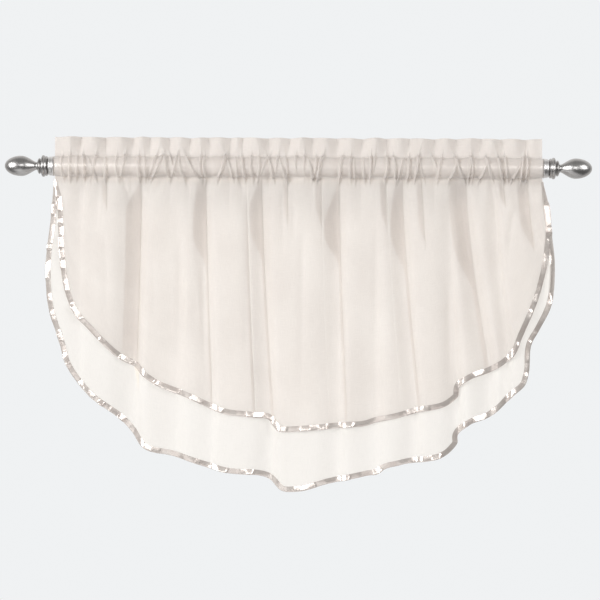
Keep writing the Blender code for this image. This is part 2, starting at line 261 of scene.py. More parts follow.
# Gathers across the pocket: place at its upper seam, place at its lower seam, strength at each
GATHERS = (
    (-406, -404, 0.4, 0.6), (-393, -393, 0.5, 1.0), (-381, -382, 0.2, 0.7), (-371, -369, 1.0, 1.2),
    (-348, -357, 0.8, 0.2), (-365, -350, 0.2, 0.9), (-332, -332, 0.2, 1.1), (-312, -310, 0.5, 0.8),
    (-298, -306, 0.9, 0.8), (-274, -273, 0.7, 1.2), (-265, -263, 0.3, 1.0), (-244, -257, 0.9, 0.5),
    (-234, -250, 0.6, 1.2), (-229, -222, 0.7, 1.1), (-220, -208, 0.9, 0.1), (-208, -218, 0.7, 0.8),
    (-205, -196, 0.5, 0.9), (-192, -171, 1.0, 0.8), (-166, -165, 0.6, 0.8), (-160, -159, 0.5, 1.0),
    (-124, -136, 1.2, 1.1), (-124, -112, 0.6, 0.8), (-107, -104, 0.1, 0.8), (-96, -91, 0.9, 1.2),
    (-79, -77, 0.6, 1.0), (-66, -68, 0.6, 0.8), (-48, -64, 0.9, 0.1), (-52, -42, 0.6, 1.2),
    (-33, -38, 0.7, 0.3), (-33, -19, 0.1, 1.1), (-21, -18, 0.6, 1.0), (-2, -1, 0.9, 0.1),
    (13, 12, 0.9, 0.2), (15, 27, 0.3, 1.0), (35, 27, 0.1, 0.9), (33, 36, 0.8, 0.2),
    (45, 36, 1.1, 1.3), (79, 74, 0.7, 1.2), (93, 93, 0.9, 0.9), (99, 100, 0.1, 1.0),
    (115, 117, 0.2, 1.1), (127, 126, 0.9, 1.2), (134, 128, 0.8, 0.2), (155, 153, 1.1, 1.1),
    (166, 170, 0.9, 1.1), (186, 175, 0.2, 1.2), (193, 191, 1.0, 1.3), (210, 204, 1.0, 1.4),
    (210, 219, 0.2, 0.7), (234, 245, 0.9, 0.1), (250, 244, 0.7, 1.0), (279, 265, 0.1, 1.3),
    (274, 288, 1.1, 0.9), (298, 296, 0.2, 1.3), (301, 302, 1.1, 1.1), (333, 317, 0.1, 1.4),
    (327, 338, 0.9, 0.7), (348, 356, 1.2, 1.4), (359, 364, 0.9, 0.9), (389, 373, 0.2, 1.4),
    (392, 388, 0.8, 1.4), (398, 396, 1.3, 1.3),
)
# A gather's dip and the ridge beside it, and how far both run on below the pocket and above it
PINCH_RISE = 4.4
PINCH_WIDTH = 1.7
PINCH_BESIDE = 2.6
PINCH_DIP = 2.4
PINCH_DIP_WIDTH = 1.4
PINCH_BOW = 2.0
PINCH_REACH = 14.0
HEADER_PINCH_REACH = 8.0
# How far the gathers draw the pocket's seams up and down, and how fast that fades away from a seam
SEAM_WAVE = 1.2
SEAM_WAVE_LENGTHS = (7.0, 17.0)
HANGING_WAVE_FADE = 20
POCKET_WAVE_FADE = 4

# Ribbon: how it turns towards and away from the light along its edge
RIBBON_SEED = 5
RIBBON_TURN = 0.42
RIBBON_TURN_PITCH = (6.0, 28.0)
RIBBON_TURN_QUICKNESS = 3.0
RIBBON_LEFT_TURN = 0.8
RIBBON_LEFT_POWER = 6
RIBBON_RIGHT_POWER = 2
# Turns of each ribbon on its right side: drop, turn
FRONT_RIBBON_TURNS = ((30, -2.2), (56, -2.2), (62, 0.3), (112, 0.3), (120, -1.25), (205, -1.25), (230, -0.6))
REAR_RIBBON_TURNS = ((30, -2.2), (56, -2.2), (62, 0.3), (112, 0.3), (120, -2.4), (215, -2.4), (235, -0.6))
RIBBON_RIGHT_CALM = 0.7
RIBBON_CRINKLE = 0.16
RIBBON_CRINKLE_RATES = (5.0, 9.0)

# Stitches, and a stitch's rings: share of its length, share of its radius
STITCH_PITCH = 3.4
STITCH_LENGTH = 2.4
STITCH_RADIUS = 0.26
STITCH_SIDES = 5
STITCH_SEAT = 0.8
STITCH_RINGS = ((0.0, 0.35), (0.25, 1.0), (0.75, 1.0), (1.0, 0.35))

# Voile, in metres of flat cloth. Below the seam its colour is darkened by painted shade, most at the start
# distance and no more at the reach distance. MEAN_COVER is about what its weave and slubs add on average
THREAD_PITCH = 0.00055
PAINTED_SHADE_START = 0.014
PAINTED_SHADE_REACH = 0.1
PAINTED_SEAM_SHADE = 0.09
WEAVE_COVER = 0.1
SLUB_COVER = 0.06
MEAN_COVER = 0.12

# Studio in metres and watts. Lights: name, place, width and height, power, place aimed at
LIGHTS = (
    ("key", (-3.4, -2.6, 0.5), (2.0, 2.4), 135.0, (0.0, 0.0, -0.2)),
    ("fill", (2.5, -2.1, 0.6), (1.3, 1.6), 41.0, (0.0, 0.0, -0.2)),
    ("low", (-0.7, -0.9, -1.1), (1.2, 0.6), 2.2, (0.0, 0.0, -0.35)),
    ("front", (0.0, -3.4, 0.35), (2.4, 1.0), 27.0, (0.0, 0.0, -0.2)),
)
FLOOR_RADIUS = 0.9
FLOOR_SIDES = 96
FLOOR_DROP = 1.0
BACKDROP_COLOUR = (0.87, 0.885, 0.895, 1.0)
ROOM_COLOUR = (1.0, 0.985, 0.97, 1.0)
# How bright the room is towards its back and its top: share of the way from, to, brightness least, most
ROOM_BACK = (-0.25, 0.6, 0.12, 0.8)
ROOM_TOP = (0.1, 0.6, 0.0, 0.2)


def smooth(share):
    """Ease a share from 0 to 1 without a corner at either end."""
    share = np.clip(share, 0.0, 1.0)
    return share * share * (3.0 - 2.0 * share)


def bump(distance, width):
    """Return a soft bump of height 1 at distance 0."""
    return np.exp(-(distance / width) ** 2)


def running_total(steps):
    """Return how far along a line each of its points lies, from the lengths of its steps."""
    return np.concatenate(([0.0], np.cumsum(steps)))


def smooth_curve(rows, samples=24):
    """Run a smooth curve through a table's rows and return it finely sampled."""
    points = np.array(rows, dtype=float)
    steps = np.hypot(np.diff(points[:, 1]), np.diff(points[:, 2]))
    slopes = np.gradient(points, running_total(steps), axis=0)
    pieces = []
    for index, step in enumerate(steps):
        share = np.linspace(0.0, 1.0, samples, endpoint=False)[:, None]
        curve = points[index] + (points[index + 1] - points[index]) * smooth(share)
        curve += step * slopes[index] * share * (1.0 - share) ** 2
        curve -= step * slopes[index + 1] * share ** 2 * (1.0 - share)
        pieces.append(curve)
    pieces.append(points[-1:])
    return np.concatenate(pieces)


def fillet_height(side):
    """Return where a leaf that stands side millimetres off the rod's plane turns onto the rod."""
    reach = POCKET_RADIUS + POCKET_FILLET
    return math.sqrt(reach ** 2 - (side + POCKET_FILLET) ** 2)


SEAM_DROP = fillet_height(LEAF_SPACING)
HEADER_SEAM = fillet_height(0.5 * LEAF_SPACING)


def binding_width(drop):
    """Return the ribbon's width, which narrows where its ends are drawn into the seam."""
    spread = smooth((drop - SEAM_DROP) / BINDING_TAPER)
    return BINDING_END_WIDTH + (BINDING_WIDTH - BINDING_END_WIDTH) * spread


class Edge:
    """The outer edge of one layer: down its left side, along its hem and up its right side.

    A station is a place along the edge, counted in samples.
    """

    def __init__(self, rows):
        curve = smooth_curve(rows)
        self.place = np.clip(curve[:, 0], -CLOTH_HALF, CLOTH_HALF)
        self.across = curve[:, 1]
        self.drop = curve[:, 2]
        self.station = np.arange(len(curve), dtype=float)
        run = np.gradient(self.across)
        fall = np.gradient(self.drop)
        length = np.hypot(run, fall)
        self.inward_x = fall / length
        self.inward_drop = -run / length
        self.travel = running_total(np.hypot(np.diff(self.across), np.diff(self.drop)))
        self.left = np.flatnonzero(self.place <= -CLOTH_HALF)[-1]
        self.right = np.flatnonzero(self.place >= CLOTH_HALF)[0]

    def points(self, stations, inset):
        """Return x and drop at the stations, moved in from the edge by inset."""
        across = self.across + inset * self.inward_x
        drop = self.drop + inset * self.inward_drop
        return np.interp(stations, self.station, across), np.interp(stations, self.station, drop)

    def cloth_inset(self):
        """Return how far the cloth's own edge lies inside the ribbon's outer fold."""
        return binding_width(self.drop) - BINDING_COVER

    def hem_stations(self, places):
        """Return the stations on the hem that places along the rod hang down to."""
        hem = slice(self.left, self.right + 1)
        return np.interp(places, self.place[hem], self.station[hem])

    def side_stations(self, shares):
        """Return the stations of the cloth's rows on the left side and on the right side, going down."""
        cloth_drop = self.drop + self.cloth_inset() * self.inward_drop
        left_drops = SEAM_DROP + (cloth_drop[self.left] - SEAM_DROP) * shares
        right_drops = SEAM_DROP + (cloth_drop[self.right] - SEAM_DROP) * shares
        left_side = slice(0, self.left + 1)
        right_side = slice(None, self.right - 1, -1)
        left = np.interp(left_drops, cloth_drop[left_side], self.station[left_side])
        right = np.interp(right_drops, cloth_drop[right_side], self.station[right_side])
        return left, right


class Columns:
    """The columns of a sheet from left to right, each with its part in the nearest pleat."""

    def __init__(self, edge, width_shares):
        self.pleats = np.array(PLEATS, dtype=float)
        self.pleats[:, 1:4] *= width_shares
        rows = [self.plain_column(place) for place in self.even_places(edge)]
        for index, (place, *_) in enumerate(PLEATS):
            for turn, (drawn, extra, lift) in enumerate(PLEAT_TURN):
                closed = PLEAT_CLOSED_PITCH * (turn - 0.5 * len(PLEAT_TURN))
                rows.append((place + closed, index, drawn, extra, lift))
        rows.sort()
        table = np.array(rows)
        self.place = table[:, 0]
        self.nearest = table[:, 1].astype(int)
        self.drawn = table[:, 2]
        self.extra = table[:, 3]
        self.lift = PLEAT_LIFT * table[:, 4]
        self.folded = (self.drawn > 0.0) | (self.extra != 0.0)

    @staticmethod
    def even_places(edge):
        """Space places evenly along the rod and the hem together, clear of the pleats' folds."""
        hem = slice(edge.left, edge.right + 1)
        way = COLUMN_ROD_SHARE * edge.place[hem] + edge.travel[hem]
        places = np.interp(np.linspace(way[0], way[-1], COLUMNS), way, edge.place[hem])
        for place, *_ in PLEATS:
            places = places[np.abs(places - place) > PLEAT_CLEAR]
        return places

    @staticmethod
    def plain_column(place):
        """Return a column between the pleats: in front of the one to its right, behind one to its left."""
        lifts = []
        for edge_place, _, width, *_ in PLEATS:
            if place < edge_place:
                lifts.append(smooth((place - edge_place + width + PLEAT_SHOULDER) / PLEAT_SHOULDER))
            else:
                lifts.append(-smooth(1.0 - (place - edge_place) / PLEAT_SHOULDER))
        index = int(np.argmax(np.abs(lifts)))
        return (place, index, 0.0, 0.0, float(lifts[index]))

    def fold(self, drop):
        """Return how far each column is drawn back at its drop, and how far it stands forward."""
        _, at_seam, full, low, full_by, holds_to, opened_by = self.pleats[self.nearest].T
        width = at_seam + (full - at_seam) * smooth((drop - SEAM_DROP) / (full_by - SEAM_DROP))
        width = width * smooth((drop - SEAM_DROP) / PLEAT_OPENS)
        width = width + (low - width) * smooth((drop - holds_to) / (opened_by - holds_to))
        formed = smooth(width / PLEAT_FORMED)
        return self.drawn * width + self.extra * formed, self.lift * formed


def ruffle(places):
    """Return how far the header's edge stands forward at each place, from valleys to ridges."""
    last = len(VALLEYS_AND_ENDS) - 2
    index = np.clip(np.searchsorted(VALLEYS_AND_ENDS, places, side="right") - 1, 0, last)
    pitch = VALLEYS_AND_ENDS[index + 1] - VALLEYS_AND_ENDS[index]
    phase = (places - VALLEYS_AND_ENDS[index]) / pitch
    rise = (0.5 - 0.5 * np.cos(2.0 * math.pi * phase)) ** RUFFLE_ROUNDNESS
    flat_end = smooth((CLOTH_HALF - np.abs(places)) / SHOULDER)
    return (RUFFLE_DEPTH_SHARE * pitch * rise - RUFFLE_BACK) * flat_end


def pucker(places):
    """Return how far the gathered pocket stands off the rod at each place."""
    return PUCKER_DEPTH * smooth((ruffle(places) + RUFFLE_BACK) / PUCKER_RISE)


def hanging_folds(across, drop):
    """Return how far the hanging cloth stands forward, with a valley for each fold."""
    forward = np.full(np.shape(across), FOLD_FORWARD, dtype=float)
    for top_x, low_x, low_drop, width, top_depth, low_depth in FOLDS:
        share = np.clip((drop - SEAM_DROP) / (low_drop - SEAM_DROP), 0.0, 1.0)
        line = top_x + (low_x - top_x) * share ** LEAN_POWER
        depth = top_depth + (low_depth - top_depth) * share
        side = np.where(across < line, FOLD_SOFT_SIDE, FOLD_SHARP_SIDE) * width
        forward = forward - depth * bump(across - line, side)
    return forward * smooth((drop - SEAM_DROP) / FOLD_START)


def pinches(across, height):
    """Return how far the cloth stands out beside its gathers, at a share of the pocket's height."""
    height = np.asarray(height, dtype=float)
    bow = PINCH_BOW * np.sin(math.pi * np.clip(height, 0.0, 1.0))
    relief = np.zeros(np.shape(across))
    for top, low, top_force, low_force in GATHERS:
        away = across - low - (top - low) * height - bow * math.sin(low)
        force = low_force + (top_force - low_force) * np.clip(height, 0.0, 1.0)
        dip = PINCH_DIP * np.exp(-np.abs(away) / PINCH_DIP_WIDTH)
        relief += force * (PINCH_RISE * bump(away + PINCH_BESIDE, PINCH_WIDTH) - dip)
    return relief


def crease_relief(across, drop):
    """Return the creases' dips, and the gathers' ends that run down past the seam."""
    relief = np.zeros(np.shape(across))
    for top_x, top_drop, low_x, low_drop, width, depth in CREASES:
        share = np.clip((drop - top_drop) / (low_drop - top_drop), 0.0, 1.0)
        line = top_x + (low_x - top_x) * share
        ends = smooth(CREASE_END * (1.0 - share)) * smooth(CREASE_START * share)
        relief -= depth * bump(across - line, width) * ends
    below = drop - SEAM_DROP
    height = -below / (SEAM_DROP + HEADER_SEAM)
    return relief + pinches(across, height) * smooth(1.0 - below / PINCH_REACH)


def hanging_surface(across, drop, layer):
    """Return how far a layer stands forward: its folds, the ripple under the seam and the gap between."""
    fade = smooth(1.0 - (drop - SEAM_DROP) / RIPPLE_REACH)
    ripple = SEAM_RIPPLE * ruffle(np.clip(across, -CLOTH_HALF, CLOTH_HALF)) * fade
    gap = LEAF_SPACING + (LAYER_GAP - LEAF_SPACING) * smooth((drop - SEAM_DROP) / GAP_REACH)
    relief = crease_relief(across, drop)
    return hanging_folds(across, drop) + ripple + relief + 0.5 * LEAF_SPACING + layer * 0.5 * gap


def hanging_rows(columns, edge, layer):
    """Return a layer's rows of points from its hem up to just under the seam, its ends on its sides."""
    places = columns.place
    shares = np.linspace(0.0, 1.0, BODY_ROWS + 1)[1:] ** BODY_ROW_POWER
    hem_x, hem_drop = edge.points(edge.hem_stations(places), edge.cloth_inset())
    left_stations, right_stations = edge.side_stations(shares)
    left_x = edge.points(left_stations, edge.cloth_inset())[0]
    right_x = edge.points(right_stations, edge.cloth_inset())[0]
    near_left = smooth(1.0 - (CLOTH_HALF + places) / SHOULDER)
    near_right = smooth(1.0 - (CLOTH_HALF - places) / SHOULDER)
    rows = []
    for index, share in enumerate(shares):
        across = places + (hem_x - places) * share ** LEAN_POWER
        from_left = (left_x[index] - across[0]) * near_left
        from_right = (right_x[index] - across[-1]) * near_right
        across = across + from_left + from_right
        wave = seam_wave(places) * (1.0 - share) ** HANGING_WAVE_FADE
        drop = SEAM_DROP + (hem_drop - SEAM_DROP) * share - wave
        drawn, lift = columns.fold(drop)
        across = across - drawn
        drop = np.where(columns.folded, np.minimum(drop, np.interp(across, hem_x, hem_drop)), drop)
        lift = lift * (1.0 - HEM_PRESS * smooth(1.0 - (1.0 - share) / HEM_PRESS_REACH))
        forward = hanging_surface(across, drop, layer) + lift
        rows.append(np.column_stack((across, -forward, -drop)))
    return rows[::-1]


def seam_wave(places):
    """Return how far the gathers draw a seam of the pocket up at each place."""
    short, long = SEAM_WAVE_LENGTHS
    return SEAM_WAVE * np.sin(places / short) * np.sin(places / long)


def pocket_rows(places, direction):
    """Return the rows of the leaf that passes the rod, upwards in front or downwards behind it."""
    low = math.asin(SEAM_DROP / (POCKET_RADIUS + POCKET_FILLET))
    high = math.asin(HEADER_SEAM / (POCKET_RADIUS + POCKET_FILLET))
    rows = []
    for angle in np.linspace(-low, high, POCKET_ROWS[direction])[::-direction]:
        height = (angle + low) / (high + low)
        radius = np.maximum(POCKET_RADIUS + pucker(places) + pinches(places, height), CLOTH_ON_ROD)
        wave_share = height ** POCKET_WAVE_FADE + (1.0 - height) ** POCKET_WAVE_FADE
        up = radius * math.sin(angle) + seam_wave(places) * wave_share
        rows.append(np.column_stack((places, direction * radius * math.cos(angle), up)))
    return rows


def header_row(places, share, side):
    """Return one row of the header at a share of its height, side millimetres behind its middle."""
    sways = HEADER_SWAY * np.sin(HEADER_SWAY_STEP * np.arange(len(VALLEYS_AND_ENDS)))
    sways[[0, -1]] = 0.0
    short, long = HEADER_WAVE_LENGTHS
    wave = HEADER_WAVE * np.sin(places / short) * np.sin(places / long + 1.0)
    height = HEADER_SEAM + seam_wave(places) * (1.0 - share) + (HEADER_TOP - HEADER_SEAM + wave) * share
    forward = ruffle(places) * (SEAM_RIPPLE + (1.0 - SEAM_RIPPLE) * share ** HEADER_FLARE_POWER)
    above = share * (HEADER_TOP - HEADER_SEAM)
    pinched = pinches(places, 1.0 + above / (SEAM_DROP + HEADER_SEAM))
    forward = forward + pinched * math.exp(-above / HEADER_PINCH_REACH)
    across = places + np.interp(places, VALLEYS_AND_ENDS, sways) * share
    return np.column_stack((across, side - forward, height))


def front_cloth_rows(columns, edge):
    """Follow the front layer from its hem, over the rod and the header, and down behind the rod."""
    leaf = 0.5 * LEAF_SPACING
    places = columns.place
    seam = np.full(len(places), SEAM_DROP)
    tail = []
    for share in ALLOWANCE_SHARES:
        drop = np.full(len(places), SEAM_DROP + SEAM_ALLOWANCE * share)
        behind = 1.5 * LEAF_SPACING + ALLOWANCE_FLARE * share
        tail.append(np.column_stack((places, behind - hanging_surface(places, drop, 0.0), -drop)))
    return [
        *hanging_rows(columns, edge, 1.0),
        np.column_stack((places, -hanging_surface(places, seam, 1.0), seam_wave(places) - seam)),
        *pocket_rows(places, IN_FRONT),
        *[header_row(places, share, -leaf) for share in np.linspace(0.0, 1.0, HEADER_ROWS[IN_FRONT])],
        *[header_row(places, 1.0, behind * leaf) + (0.0, 0.0, up * leaf) for behind, up in HEADER_TURN],
        *[header_row(places, share, leaf) for share in np.linspace(1.0, 0.0, HEADER_ROWS[BEHIND])],
        *pocket_rows(places, BEHIND),
        *tail,
    ]


def rear_cloth_rows(columns, edge):
    """Follow the longer layer from its hem up to its top edge, caught in the pocket's lower seam."""
    top = np.full(len(columns.place), SEAM_DROP)
    forward = hanging_surface(columns.place, top, -1.0)
    return [*hanging_rows(columns, edge, -1.0), np.column_stack((columns.place, -forward, -top))]


def ribbon_turns(travel, chance):
    """Return how far the ribbon is turned at each point of its way along the edge, from -1 to 1."""
    marks = [0.0]
    turns = [0.0]
    while marks[-1] < travel[-1]:
        marks.append(marks[-1] + chance.uniform(*RIBBON_TURN_PITCH))
        turns.append(chance.uniform(-1.0, 1.0))
    index = np.clip(np.searchsorted(marks, travel, side="right") - 1, 0, len(marks) - 2)
    marks = np.array(marks)
    turns = np.array(turns)
    share = (travel - marks[index]) / (marks[index + 1] - marks[index])
    turned = smooth(0.5 + RIBBON_TURN_QUICKNESS * (share - 0.5))
    return turns[index] + (turns[index + 1] - turns[index]) * turned


def ribbon_relief(edge, stations, right_turns, chance):
    """Return how steeply the ribbon is turned at each station, and how far its crinkles lift its edge."""
    travel = np.interp(stations, edge.station, edge.travel)
    inward = np.interp(stations, edge.station, edge.inward_x)
    on_left = np.maximum(inward, 0.0) ** RIBBON_LEFT_POWER
    on_right = np.maximum(-inward, 0.0) ** RIBBON_RIGHT_POWER
    calm = 1.0 - RIBBON_RIGHT_CALM * on_right
    right_turn = np.interp(np.interp(stations, edge.station, edge.drop), *np.transpose(right_turns))
    turn = calm * ribbon_turns(travel, chance) - RIBBON_LEFT_TURN * on_left + right_turn * on_right
    crinkle = sum(ribbon_turns(travel * rate, chance) for rate in RIBBON_CRINKLE_RATES)
    return RIBBON_TURN * turn, RIBBON_CRINKLE * calm * crinkle


def ribbon_rows(edge, layer, right_turns, chance):
    """Return the rows of the ribbon folded round a layer's edge: front leaf, outer fold, back leaf."""
    count = int(edge.travel[-1] / BINDING_PITCH)
    stations = np.interp(np.linspace(0.0, edge.travel[-1], count), edge.travel, edge.station)
    turn, crinkle = ribbon_relief(edge, stations, right_turns, chance)
    width = binding_width(edge.drop)
    rows = []
    for inset, side in BINDING_TURN:
        across, drop = edge.points(stations, inset * width)
        outwards = (1.0 - inset) * np.interp(stations, edge.station, width)
        forward = hanging_surface(across, drop, layer) + side * BINDING_HALF_THICKNESS
        forward = forward + outwards * turn + crinkle * (1.0 - inset)
        rows.append(np.column_stack((across, -forward, -drop)))
    return rows


def sheet_object(name, rows, material, seam=0):
    """Join rows of points into an open sheet, its UV in metres of flat cloth from the seam's row."""
    points = np.array(rows)
    row_count, column_count = points.shape[:2]
    across = MM * running_total(np.linalg.norm(np.diff(points[row_count // 3], axis=0), axis=1))
    along = MM * running_total(np.linalg.norm(np.diff(points[:, column_count // 2], axis=0), axis=1))
    along -= along[seam]
    corner = np.arange(row_count - 1)[:, None] * column_count + np.arange(column_count - 1)
    faces = np.stack((corner, corner + 1, corner + column_count + 1, corner + column_count), axis=-1)
    mesh = bpy.data.meshes.new(name)
    mesh.from_pydata((points.reshape(-1, 3) * MM).tolist(), [], faces.reshape(-1, 4).tolist())
    layer = mesh.uv_layers.new(name="cloth")
    flat = np.stack(np.meshgrid(across, along), axis=-1).reshape(-1, 2)
    vertex_index = np.empty(len(mesh.loops), dtype=np.int32)
    mesh.loops.foreach_get("vertex_index", vertex_index)
    layer.data.foreach_set("uv", flat[vertex_index].ravel())
    return add_object(name, mesh, material)


def add_object(name, mesh, material):
    """Put a mesh in the scene as one smooth piece."""
    mesh.materials.append(material)
    mesh.shade_smooth()
    thing = bpy.data.objects.new(name, mesh)
    bpy.context.scene.collection.objects.link(thing)
    return thing


def join_rings(shape, rings):
    """Join closed rings of vertices, each to the next, with faces."""
    for near, far in zip(rings, rings[1:]):
        for turn in range(len(near)):
            after = (turn + 1) % len(near)
            shape.faces.new((near[turn], near[after], far[after], far[turn]))


def finished_object(name, shape, material):
    """Put a mesh in the making in the scene as one piece."""
    mesh = bpy.data.meshes.new(name)
    shape.to_mesh(mesh)
    shape.free()
    return add_object(name, mesh, material)


def turned_object(name, profile, sign, place, material):
    """Turn a profile of (height, radius) points about the rod's axis, pointing outwards."""
    shape = bmesh.new()
    rings = []
    for height, radius in profile:
        ring = []
        for step in range(TURNED_STEPS):
            angle = sign * 2.0 * math.pi * step / TURNED_STEPS
            point = (sign * (place + height), radius * math.sin(angle), radius * math.cos(angle))
            ring.append(shape.verts.new(MM * Vector(point)))
        rings.append(ring)
    join_rings(shape, rings)
    bmesh.ops.remove_doubles(shape, verts=shape.verts, dist=WELD_DISTANCE)
    bmesh.ops.recalc_face_normals(shape, faces=shape.faces)
    return finished_object(name, shape, material)


def finial_profile():
    """Return the finial's profile from its tip to the disc that seats on the end cap."""
    tip_length = FINIAL_LENGTH - FINIAL_BELLY
    neck_length = FINIAL_BELLY - NECK_PLACE
    profile = []
    for angle in np.linspace(0.0, 0.5 * math.pi, TIP_STEPS):
        profile.append((FINIAL_BELLY + tip_length * math.cos(angle), FINIAL_RADIUS * math.sin(angle)))
    for share in np.linspace(0.0, 1.0, NECK_STEPS + 1)[1:]:
        fall = (0.5 + 0.5 * math.cos(math.pi * share)) ** EGG_FULLNESS
        radius = NECK_RADIUS + (FINIAL_RADIUS - NECK_RADIUS) * fall
        profile.append((FINIAL_BELLY - neck_length * share, radius))
    return [*profile, *FINIAL_BEAD, *FINIAL_DISC, *FINIAL_SEAT]


def cap_profile():
    """Return the end cap's profile from the face under the finial to the face on the rod's end."""
    length = CAP_OUTER - CAP_INNER
    return [*((length - depth, radius) for depth, radius in CAP_SHOULDER), *CAP_LIP]


def rod_profile():
    """Return the rod's profile from its right end to its left end, with a small edge break."""
    end = CAP_INNER - SEAT_GAP
    face = ROD_RADIUS - ROD_EDGE
    return [(end, 0.0), (end, face), (end - ROD_EDGE, ROD_RADIUS), (ROD_EDGE - end, ROD_RADIUS),
            (-end, face), (-end, 0.0)]


def add_stitch(shape, first, last, lift):
    """Add one stitch between two points, a short thread with narrow ends that stands off in a direction."""
    along = (last - first).normalized()
    out = Vector(lift) - along * along.dot(Vector(lift))
    out.normalize()
    side = along.cross(out)
    rings = []
    for place, size in STITCH_RINGS:
        middle = first.lerp(last, place) + STITCH_RADIUS * STITCH_SEAT * size * out
        ring = []
        for turn in range(STITCH_SIDES):
            angle = 2.0 * math.pi * turn / STITCH_SIDES
            point = middle + STITCH_RADIUS * size * (out * math.cos(angle) + side * math.sin(angle))
            ring.append(shape.verts.new(MM * point))
        rings.append(ring)
    join_rings(shape, rings)


def stitch_row(shape, points, lift):
    """Lay stitches end to end along a line of points, standing off it in the direction lift."""
    points = np.array(points)
    travel = running_total(np.linalg.norm(np.diff(points, axis=0), axis=1))
    for middle in np.arange(STITCH_PITCH, travel[-1] - STITCH_PITCH, STITCH_PITCH):
        ends = (middle - 0.5 * STITCH_LENGTH, middle + 0.5 * STITCH_LENGTH)
        first, last = (Vector([np.interp(end, travel, column) for column in points.T]) for end in ends)
        add_stitch(shape, first, last, lift)


def stitch_object(name, lines, material):
    """Make one piece of stitches from lines of points, each with the direction it stands off."""
    shape = bmesh.new()
    for points, lift in lines:
        stitch_row(shape, points, lift)
    return finished_object(name, shape, material)


def set_range(node, *numbers):
    """Set where a Map Range node's values come from and, with four numbers, where they go."""
    for name, number in zip(("From Min", "From Max", "To Min", "To Max"), numbers):
        node.inputs[name].default_value = number


class Nodes:
    """A material's node tree with short calls to add and join its nodes."""

    def __init__(self, name):
        self.material = bpy.data.materials.new(name)
        self.material.use_nodes = True
        self.tree = self.material.node_tree
        self.tree.nodes.clear()
        self.output = self.tree.nodes.new("ShaderNodeOutputMaterial")

    def add(self, kind, **settings):
        """Add a node. A setting is one of its properties, or else the value of an input."""
        node = self.tree.nodes.new(kind)
        for name, value in settings.items():
            if hasattr(node, name):
                setattr(node, name, value)
            else:
                node.inputs[name.replace("_", " ")].default_value = value
        return node

    def join(self, source, target):
        """Join an output socket to an input socket."""
        self.tree.links.new(source, target)

    def compute(self, operation, first, second):
        """Add a Math node over two sockets or numbers and return its output."""
        node = self.add("ShaderNodeMath", operation=operation)
        for socket, value in zip(node.inputs, (first, second)):
            if hasattr(value, "links"):
                self.join(value, socket)
            else:
                socket.default_value = value
        return node.outputs[0]

    def noise(self, vector, scale, stretch, detail=3.0):
        """Add a noise stretched along each axis and return its value."""
        mapping = self.add("ShaderNodeMapping")
        mapping.inputs["Scale"].default_value = stretch
        self.join(vector, mapping.inputs["Vector"])
        noise = self.add("ShaderNodeTexNoise", Scale=scale, Detail=detail)
        self.join(mapping.outputs[0], noise.inputs["Vector"])
        return noise.outputs["Fac"]

    def ramp(self, value, low, high):
        """Map a value from 0.3-0.7 onto low-high and return it."""
        node = self.add("ShaderNodeMapRange")
        set_range(node, 0.3, 0.7, low, high)
        self.join(value, node.inputs["Value"])
        return node.outputs[0]

    def step(self, value, start, stop):
        """Ease from 0 to 1 while a value goes from start to stop."""
        node = self.add("ShaderNodeMapRange", interpolation_type="SMOOTHSTEP")
        set_range(node, start, stop)
        self.join(value, node.inputs["Value"])
        return node.outputs[0]

    def scaled(self, colour, factor):
        """Return a colour times a factor."""
        node = self.add("ShaderNodeVectorMath", operation="SCALE")
        self.join(colour, node.inputs[0])
        self.join(factor, node.inputs["Scale"])
        return node.outputs[0]

    def blend(self, factor, first, second):
        """Mix two plain colours by a socket and return the result."""
        node = self.add("ShaderNodeMix", data_type="RGBA")
        node.inputs[6].default_value = (*first, 1.0)
        node.inputs[7].default_value = (*second, 1.0)
        self.join(factor, node.inputs[0])
        return node.outputs[2]

    def bump(self, height, strength, distance):
        """Add a bump from a height and return its normal."""
        node = self.add("ShaderNodeBump", Strength=strength, Distance=distance)
        self.join(height, node.inputs["Height"])
        return node.outputs["Normal"]


def woven_threads(nodes, axes):
    """Return a plain weave's height from both of the cloth's axes: ridges of thread, gaps between."""
    threads = []
    for axis in axes.outputs[:2]:
        turns = nodes.compute("MULTIPLY", axis, math.pi / THREAD_PITCH)
        threads.append(nodes.compute("ABSOLUTE", nodes.compute("SINE", turns, 0.0), 0.0))
    return nodes.compute("MAXIMUM", threads[0], threads[1])


def painted_seam_shade(nodes, up):
    """Return how bright the cloth is left at a height over the seam, darkened just below it by painted
    shade.
    """
    below = nodes.step(up, -PAINTED_SHADE_REACH, 0.0)
    above = nodes.step(up, 0.0, -PAINTED_SHADE_START)
    painted_shade = nodes.compute("MULTIPLY", nodes.compute("MULTIPLY", below, above), PAINTED_SEAM_SHADE)
    return nodes.compute("SUBTRACT", 1.0, painted_shade)


def sheer_shader(nodes, colour, normal, cover, through):
    """Return a cloth shader that covers a share of what is behind it and lets a share of light through."""
    cloth = nodes.add("ShaderNodeBsdfPrincipled", Roughness=0.7)
    cloth.inputs["Sheen Weight"].default_value = 0.15
    cloth.inputs["Sheen Roughness"].default_value = 0.4
    cloth.inputs["Specular IOR Level"].default_value = 0.25
    glow = nodes.add("ShaderNodeBsdfTranslucent")
    clear = nodes.add("ShaderNodeBsdfTransparent")
    body = nodes.add("ShaderNodeMixShader")
    whole = nodes.add("ShaderNodeMixShader")
    body.inputs[0].default_value = through
    for shader in (cloth, glow):
        nodes.join(normal, shader.inputs["Normal"])
    nodes.join(colour, cloth.inputs["Base Color"])
    nodes.join(colour, glow.inputs["Color"])
    nodes.join(cloth.outputs[0], body.inputs[1])
    nodes.join(glow.outputs[0], body.inputs[2])
    nodes.join(cover, whole.inputs[0])
    nodes.join(clear.outputs[0], whole.inputs[1])
    nodes.join(body.outputs[0], whole.inputs[2])
    return whole.outputs[0]


